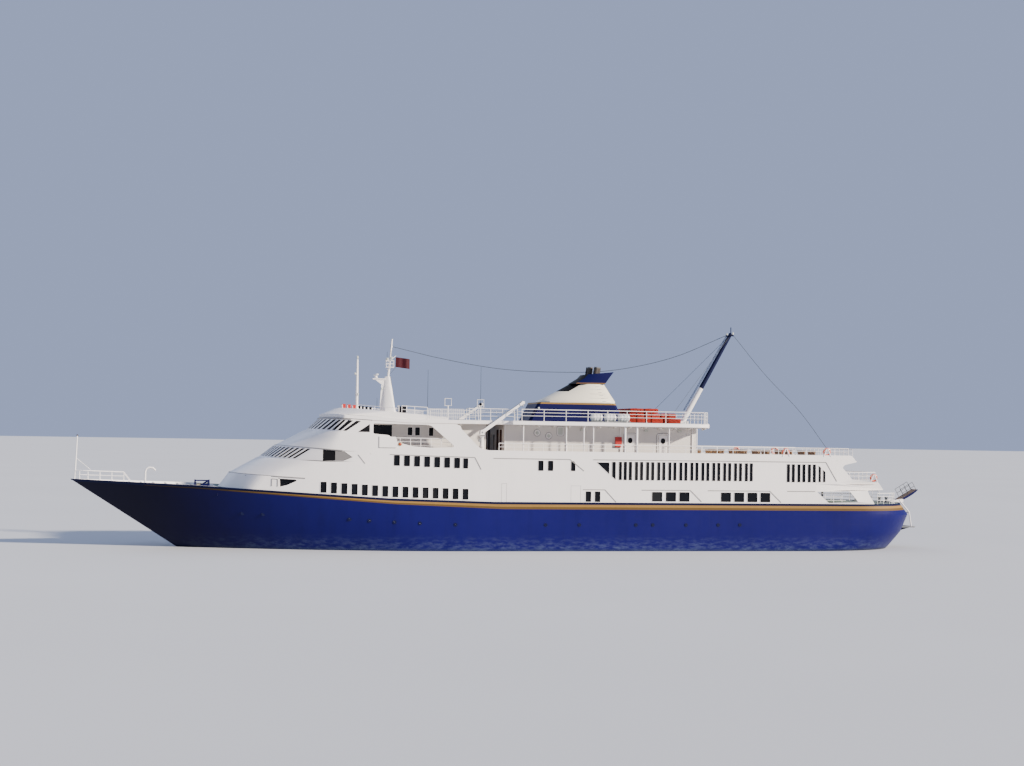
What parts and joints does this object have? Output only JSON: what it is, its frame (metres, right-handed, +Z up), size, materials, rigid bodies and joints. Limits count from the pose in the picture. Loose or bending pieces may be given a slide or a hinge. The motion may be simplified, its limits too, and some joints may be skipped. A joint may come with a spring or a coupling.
{
  "type": "passenger ferry scale model at 1:2",
  "caption": "Motor passenger ferry with a raked bow, stepped rounded front, open sun deck, funnel, raked after mast, cranes, twin screws and rudders.",
  "frame": {"origin": "amidships on the centreline at the waterline", "axes": "+X towards the bow, +Y to port, +Z up"},
  "size_m": [39.4109, 6.4, 12.1],
  "materials": {
    "hull_paint": "satin",
    "white_paint": "satin",
    "cream_paint": "satin",
    "funnel_paint": "satin",
    "float_cover": "matte",
    "deck_gear": "satin",
    "bronze": "satin"
  },
  "bodies": {
    "ship": {"hull": "hull_paint", "bow_bulwark_port": "hull_paint", "bow_bulwark_starboard": "hull_paint", "main_house": "white_paint", "upper_front": "white_paint", "upper_house": "white_paint", "sun_deck": "white_paint", "bridge_front": "white_paint", "bridge_house": "white_paint", "sun_deck_house": "white_paint", "top_deck": "white_paint", "bridge_roof": "white_paint", "side_screen_port": "white_paint", "side_screen_starboard": "white_paint", "after_terrace": "white_paint", "mooring_screen_port": "white_paint", "mooring_screen_starboard": "white_paint", "funnel_casing": "funnel_paint", "funnel": "cream_paint", "funnel_wing": "funnel_paint", "main_mast": "white_paint", "foremast": "white_paint", "aft_mast": "white_paint", "crane_base_port": "white_paint", "crane_base_starboard": "white_paint", "liferafts_port": "white_paint", "liferafts_starboard": "white_paint", "float_stack": "float_cover", "top_rail_port": "white_paint", "sun_rail_port": "white_paint", "top_rail_starboard": "white_paint", "sun_rail_starboard": "white_paint", "top_rail_aft": "white_paint", "sun_rail_aft": "white_paint", "terrace_rail": "white_paint", "bow_rail": "white_paint", "foredeck_gear": "deck_gear", "stern_bollards": "deck_gear", "foredeck_winch": "funnel_paint", "skeg": "hull_paint", "shaft_tube_port": "deck_gear", "shaft_tube_starboard": "deck_gear", "stern_rail": "white_paint", "main_stay": "deck_gear", "backstay": "deck_gear", "stern_platform": "white_paint"},
    "radar": {"radar_scanner": "white_paint"},
    "crane_port_post": {"crane_post_port": "white_paint"},
    "crane_port_jib": {"crane_jib_port": "white_paint"},
    "crane_starboard_post": {"crane_post_starboard": "white_paint"},
    "crane_starboard_jib": {"crane_jib_starboard": "white_paint"},
    "port_propeller": {"propeller_port": "bronze"},
    "starboard_propeller": {"propeller_starboard": "bronze"},
    "port_rudder": {"rudder_port": "hull_paint"},
    "starboard_rudder": {"rudder_starboard": "hull_paint"},
    "gangway": {"stern_gangway": "funnel_paint"},
    "port_door_1": {"door_port_1": "cream_paint"},
    "port_door_2": {"door_port_2": "cream_paint"},
    "starboard_door_1": {"door_starboard_1": "cream_paint"},
    "starboard_door_2": {"door_starboard_2": "cream_paint"}
  },
  "joints": [
    {"name": "radar_spin", "type": "hinge", "parent": "ship", "child": "radar", "pos_m": [6.3, 0, 7.6], "axis": [0, 0, 1], "continuous": true},
    {"name": "crane_port_slew", "type": "hinge", "parent": "ship", "child": "crane_port_post", "pos_m": [2, 2.75, 4.6], "axis": [0, 0, 1], "range_deg": [-100, 0]},
    {"name": "crane_port_luff", "type": "hinge", "parent": "crane_port_post", "child": "crane_port_jib", "pos_m": [2, 2.75, 5.16], "axis": [0, 1, 0], "range_deg": [0, 40]},
    {"name": "crane_starboard_slew", "type": "hinge", "parent": "ship", "child": "crane_starboard_post", "pos_m": [2.7, -2.75, 4.6], "axis": [0, 0, 1], "range_deg": [0, 75]},
    {"name": "crane_starboard_luff", "type": "hinge", "parent": "crane_starboard_post", "child": "crane_starboard_jib", "pos_m": [2.7, -2.75, 5.16], "axis": [0, 1, 0], "range_deg": [0, 40]},
    {"name": "propeller_port_spin", "type": "hinge", "parent": "ship", "child": "port_propeller", "pos_m": [-15.225, 1.3, -1.175], "axis": [1, 0, 0], "continuous": true},
    {"name": "propeller_starboard_spin", "type": "hinge", "parent": "ship", "child": "starboard_propeller", "pos_m": [-15.225, -1.3, -1.175], "axis": [1, 0, 0], "continuous": true},
    {"name": "rudder_port_turn", "type": "hinge", "parent": "ship", "child": "port_rudder", "pos_m": [-16.25, 1.3, -1], "axis": [0, 0, 1], "range_deg": [-35, 35]},
    {"name": "rudder_starboard_turn", "type": "hinge", "parent": "ship", "child": "starboard_rudder", "pos_m": [-16.25, -1.3, -1], "axis": [0, 0, 1], "range_deg": [-35, 35]},
    {"name": "gangway_hinge", "type": "hinge", "parent": "ship", "child": "gangway", "pos_m": [-19.1, 0, 2.225], "axis": [0, 1, 0], "range_deg": [-37, 50]},
    {"name": "door_port_1_hinge", "type": "hinge", "parent": "ship", "child": "port_door_1", "pos_m": [-6.3, 2.1303, 4.175], "axis": [0, 0, 1], "range_deg": [-110, 0]},
    {"name": "door_port_2_hinge", "type": "hinge", "parent": "ship", "child": "port_door_2", "pos_m": [-4.75, 2.1303, 4.175], "axis": [0, 0, 1], "range_deg": [-110, 0]},
    {"name": "door_starboard_1_hinge", "type": "hinge", "parent": "ship", "child": "starboard_door_1", "pos_m": [-6.3, -2.1303, 4.175], "axis": [0, 0, 1], "range_deg": [0, 110]},
    {"name": "door_starboard_2_hinge", "type": "hinge", "parent": "ship", "child": "starboard_door_2", "pos_m": [-4.75, -2.1303, 4.175], "axis": [0, 0, 1], "range_deg": [0, 110]}
  ]
}
